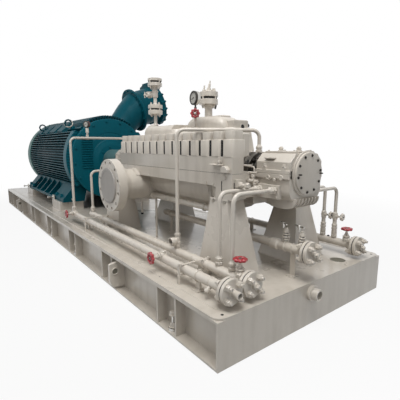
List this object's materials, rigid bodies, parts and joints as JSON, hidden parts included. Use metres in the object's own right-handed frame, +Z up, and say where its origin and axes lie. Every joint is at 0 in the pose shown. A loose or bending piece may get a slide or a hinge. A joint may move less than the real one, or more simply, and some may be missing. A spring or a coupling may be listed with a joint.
{
  "type": "multistage water pump on a skid with its motor",
  "caption": "Horizontal axially split multistage water pump, coupled to a large finned motor on a steel skid, with seal and cooling pipework.",
  "frame": {"origin": "on the floor under the middle of the skid", "axes": "+X from the motor to the pump's free end along the shaft, +Z up"},
  "size_m": [6.5163, 1.9905, 2.1195],
  "materials": {
    "painted_white": "satin paint",
    "painted_teal": "satin enamel",
    "painted_cowl": "satin enamel",
    "machined_steel": "machined",
    "painted_red": "gloss paint",
    "cover_grey": "matt"
  },
  "bodies": {
    "machine": {"bearing_body_de": "painted_white", "bearing_body_nde": "painted_white", "bearing_cap_de": "painted_white", "bearing_cap_nde": "painted_white", "bearing_cover_de": "painted_white", "bearing_cover_nde": "painted_white", "cooling_header": "painted_white", "cooling_header_blind": "painted_white", "cooling_pipe_de": "painted_white", "cooling_pipe_nde_in": "painted_white", "cooling_pipe_nde_out": "painted_white", "coupling_guard": "painted_teal", "deck_plate": "painted_white", "discharge_cover": "cover_grey", "drain_header": "painted_white", "drain_header_blind": "painted_white", "drain_stub": "painted_white", "flush_gauge": "machined_steel", "flush_header": "painted_white", "flush_header_blind": "painted_white", "flush_pipe_de": "painted_white", "flush_pipe_nde": "painted_white", "gauge_valve": "painted_white", "lower_casing": "painted_white", "motor_drive_shield": "painted_teal", "motor_fan_cowl": "painted_cowl", "motor_frame": "painted_teal", "pedestal_de_far": "painted_white", "pedestal_de_near": "painted_white", "pedestal_nde_far": "painted_white", "pedestal_nde_near": "painted_white", "pressure_gauge": "machined_steel", "return_header": "painted_white", "return_header_blind": "painted_white", "return_pipe_high": "painted_white", "return_pipe_low": "painted_white", "seal_gland_de": "machined_steel", "seal_gland_nde": "machined_steel", "skid_frame": "painted_white", "suction_cover": "cover_grey", "terminal_box": "painted_teal", "terminal_cover": "painted_teal", "terminal_neck": "painted_teal", "upper_casing": "painted_white", "vent_stack_crossover": "painted_white", "vent_stack_suction": "painted_white"},
    "handle_drain_inner": {"handle_drain_inner": "painted_white"},
    "handle_drain_outer": {"handle_drain_outer": "painted_white"},
    "handwheel_cooling": {"handwheel_cooling": "painted_red"},
    "handwheel_flush_de": {"handwheel_flush_de": "painted_red"},
    "handwheel_flush_nde": {"handwheel_flush_nde": "painted_red"},
    "handwheel_gauge": {"handwheel_gauge": "painted_red"},
    "handwheel_return": {"handwheel_return": "painted_red"},
    "handwheel_return_high": {"handwheel_return_high": "cover_grey"},
    "handwheel_return_low": {"handwheel_return_low": "cover_grey"},
    "rotor": {"rotor": "machined_steel"}
  },
  "joints": [
    {"name": "rotor_spin", "type": "hinge", "parent": "machine", "child": "rotor", "pos_m": [0.475, 0, 0.962], "axis": [1, 0, 0], "continuous": true},
    {"name": "handle_drain_inner_turn", "type": "hinge", "parent": "machine", "child": "handle_drain_inner", "pos_m": [3, -0.08, 0.6297], "axis": [0, 0, 1], "range_deg": [0, 1170]},
    {"name": "handle_drain_outer_turn", "type": "hinge", "parent": "machine", "child": "handle_drain_outer", "pos_m": [3.125, -0.08, 0.6297], "axis": [0, 0, 1], "range_deg": [0, 1170]},
    {"name": "handwheel_cooling_turn", "type": "hinge", "parent": "machine", "child": "handwheel_cooling", "pos_m": [3.06604, -0.545, 0.4935], "axis": [0, 0, 1], "range_deg": [0, 1890]},
    {"name": "handwheel_flush_de_turn", "type": "hinge", "parent": "machine", "child": "handwheel_flush_de", "pos_m": [0.62, -0.8135, 0.395], "axis": [0, -1, 0], "range_deg": [0, 1890]},
    {"name": "handwheel_flush_nde_turn", "type": "hinge", "parent": "machine", "child": "handwheel_flush_nde", "pos_m": [2.48, -0.8035, 0.395], "axis": [0, -1, 0], "range_deg": [0, 1890]},
    {"name": "handwheel_gauge_turn", "type": "hinge", "parent": "machine", "child": "handwheel_gauge", "pos_m": [2.23487, -0.2449, 1.3893], "axis": [0.774, -0.6332, 0], "range_deg": [0, 1170]},
    {"name": "handwheel_return_turn", "type": "hinge", "parent": "machine", "child": "handwheel_return", "pos_m": [3.06604, 0.62, 0.4935], "axis": [0, 0, 1], "range_deg": [0, 1890]},
    {"name": "handwheel_return_high_turn", "type": "hinge", "parent": "machine", "child": "handwheel_return_high", "pos_m": [3.0221, 0.62, 0.58], "axis": [1, 0, 0], "range_deg": [0, 1170]},
    {"name": "handwheel_return_low_turn", "type": "hinge", "parent": "machine", "child": "handwheel_return_low", "pos_m": [2.9221, 0.62, 0.58], "axis": [1, 0, 0], "range_deg": [0, 1170]}
  ]
}
